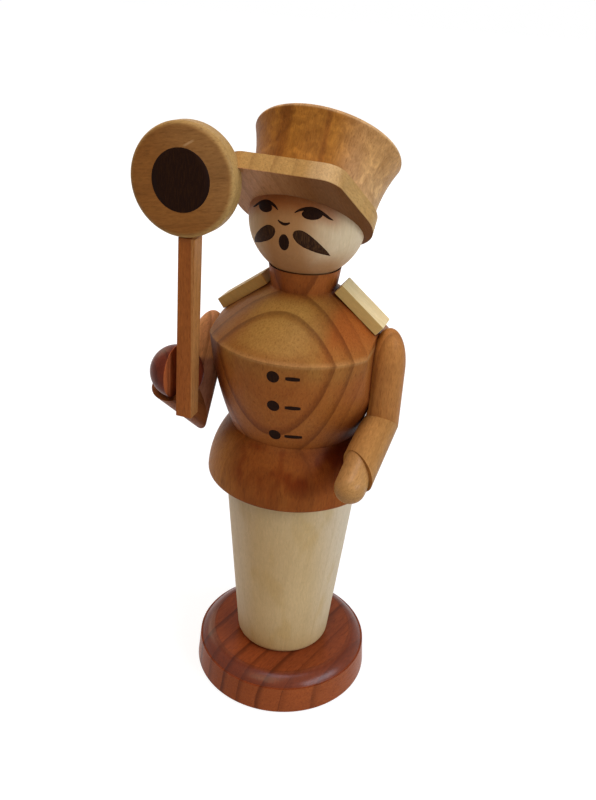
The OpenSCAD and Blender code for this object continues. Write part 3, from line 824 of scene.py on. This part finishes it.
# Strokes on the head: turn and rise from its front in degrees, and width
EYELID = [(7.8, 17.6, 0.8), (12, 20.2, 2.2), (17.4, 21.9, 3.0), (24.5, 22.3, 3.4), (31.2, 20.4, 3.2),
          (37, 17.0, 2.8), (41, 14.2, 2.2), (45, 12.2, 0.6)]
MOUSTACHE = [(8.2, -0.8, 3.0), (10.5, -1.6, 8.6), (14.5, -3.4, 12.4), (20, -6.9, 13.2), (27, -11.2, 11.2),
             (34, -15.4, 8.0), (40.6, -19.2, 4.4), (46.4, -22.8, 0.3)]
NOSE = [(-7.8, 8.8, 1.0), (-4.6, 7.1, 2.2), (-1.4, 6.2, 2.6), (1.8, 6.7, 2.4), (4.4, 8.1, 1.4)]
for sign, word in ((-1, "right"), (1, "left")):
    film("eye_" + word, on_head, flipped(oval(24.6, 17.4, 9.9, 4.9), sign), black_ink)
    film("eyelid_" + word, on_head, flipped(stroke(EYELID), sign), black_ink)
    film("moustache_" + word, on_head, flipped(stroke(MOUSTACHE, along=36, across=8), sign), brown_ink)
film("nose_mark", on_head, stroke(NOSE, along=16, across=4), black_ink)
film("mouth_mark", on_head, oval(-0.8, -11.2, 5.3, 8.2, lean=-4), black_ink)

# Buttons: height, distance of the button round the belly, and of both ends of its loop
BUTTONS = ((91.4, 0.71, 3.37, 6.4), (84.1, 0.67, 3.2, 6.55), (75.95, 0.58, 2.75, 6.6))
for number, (z, middle, start, end) in enumerate(BUTTONS, 1):
    film(f"button_{number}", on_belly, oval(middle, z, BUTTON_R, BUTTON_R), black_ink)
    loop = [(start, z, 0.7), ((2 * start + end) / 3, z, 0.95), ((start + 2 * end) / 3, z, 0.95),
            (end, z, 0.7)]
    film(f"button_loop_{number}", on_belly, stroke(loop, along=14, across=4), black_ink)
film("disc_spot", on_disc, oval(0, 0, SPOT_R, SPOT_R, steps=40), black_ink)

# Camera, fitted to the turned edges of the figure in the photo
CAMERA_AT = Vector((52.22, -170.78, 166.94)) * MM
CAMERA_TURN = 17.0
CAMERA_PITCH = 26.814
CAMERA_YAW = 0.105
CAMERA_ROLL = 3.703
camera = bpy.data.objects.new("camera", bpy.data.cameras.new("camera"))
camera.data.lens = 38.7
camera.data.sensor_width = 36.0
camera.data.clip_start = 0.005
camera.data.clip_end = 20.0
pitch, yaw, roll = (math.radians(a) for a in (CAMERA_PITCH, CAMERA_YAW, CAMERA_ROLL))
turn = Matrix.Rotation(math.radians(CAMERA_TURN), 3, "Z")
ahead = turn @ Vector((math.sin(yaw) * math.cos(pitch), math.cos(yaw) * math.cos(pitch), -math.sin(pitch)))
right = ahead.cross(Vector((0, 0, 1))).normalized()
up = right.cross(ahead)
right, up = math.cos(roll) * right + math.sin(roll) * up, math.cos(roll) * up - math.sin(roll) * right
axes = Matrix((right, up, -ahead)).transposed()
camera.matrix_world = Matrix.Translation(CAMERA_AT) @ axes.to_4x4()
bpy.context.scene.collection.objects.link(camera)
bpy.context.scene.camera = camera

# Stage and light, in metres
FLOOR_HALF = 3.0
GLOW_START = 0.10
GLOW_END = 0.32
NEAR_GLOW = 0.84
AIM = Vector((0, 0, 75)) * MM


def seen_direct(net):
    """One for rays that show the background straight, in a reflection or through glass."""
    path = net.add("ShaderNodeLightPath")
    seen = net.math("MAXIMUM", path.outputs["Is Camera Ray"], path.outputs["Is Glossy Ray"])
    return net.math("MAXIMUM", seen, path.outputs["Is Transmission Ray"])


def floor_white():
    """Pale paper that keeps the shadow and glows to white where it is seen, less so near the figure."""
    net = Net(bpy.data.materials.new("floor_white"))
    seen = seen_direct(net)
    paper = net.add("ShaderNodeBsdfDiffuse")
    net.put(net.mix(seen, (0.7, 0.7, 0.7, 1.0), (0.3, 0.3, 0.3, 1.0)), paper.inputs["Color"])
    away = net.vector("LENGTH", net.add("ShaderNodeTexCoord").outputs["Object"])
    glow = net.add("ShaderNodeEmission")
    net.put(net.times(seen, net.ramp(away, GLOW_START, GLOW_END, NEAR_GLOW, 1.0)), glow.inputs["Strength"])
    both = net.add("ShaderNodeAddShader")
    net.put(paper.outputs[0], both.inputs[0])
    net.put(glow.outputs[0], both.inputs[1])
    return net.surface(both)


def background(net, colour, strength):
    """Plain background of the world."""
    made = net.add("ShaderNodeBackground")
    made.inputs["Color"].default_value = colour
    made.inputs["Strength"].default_value = strength
    return made.outputs[0]


def studio_world():
    """White backdrop where it is seen, and a faint warm fill as light."""
    net = Net(bpy.data.worlds.new("studio"))
    fill = background(net, (1.0, 0.9, 0.78, 1.0), 0.04)
    backdrop = background(net, (1.0, 1.0, 1.0, 1.0), 1.0)
    both = net.add("ShaderNodeMixShader")
    for value, socket in zip((seen_direct(net), fill, backdrop), both.inputs):
        net.put(value, socket)
    return net.surface(both, "ShaderNodeOutputWorld")


def lamp(name, place, wide, high, watts, colour):
    """Soft panel that looks at the figure."""
    data = bpy.data.lights.new(name, "AREA")
    data.shape = "RECTANGLE"
    data.size = wide
    data.size_y = high
    data.energy = watts
    data.color = colour
    made = bpy.data.objects.new(name, data)
    made.location = Vector(place)
    made.rotation_mode = "QUATERNION"
    made.rotation_quaternion = (AIM - made.location).to_track_quat("-Z", "Y")
    bpy.context.scene.collection.objects.link(made)


floor_mesh = bpy.data.meshes.new("floor")
floor_corners = [(x * FLOOR_HALF, y * FLOOR_HALF, 0) for x, y in ((-1, -1), (1, -1), (1, 1), (-1, 1))]
floor_mesh.from_pydata(floor_corners, [], [(0, 1, 2, 3)])
floor_mesh.materials.append(floor_white())
floor = bpy.data.objects.new("floor", floor_mesh)
bpy.context.scene.collection.objects.link(floor)

bpy.context.scene.world = studio_world()
lamp("window", (0.69, -0.20, 0.44), 0.60, 0.28, 4.0, (0.86, 1.0, 1.18))
lamp("ceiling", (0.03, -0.03, 0.87), 0.40, 0.40, 3.1, (1.0, 0.95, 1.12))
lamp("front", (-0.06, -0.46, 0.73), 0.40, 0.40, 1.6, (1.16, 0.95, 0.64))
lamp("behind", (-0.63, 0.36, 0.41), 0.40, 0.40, 1.1, (1.25, 1.0, 0.66))

scene = bpy.context.scene
scene.view_settings.view_transform = "Standard"
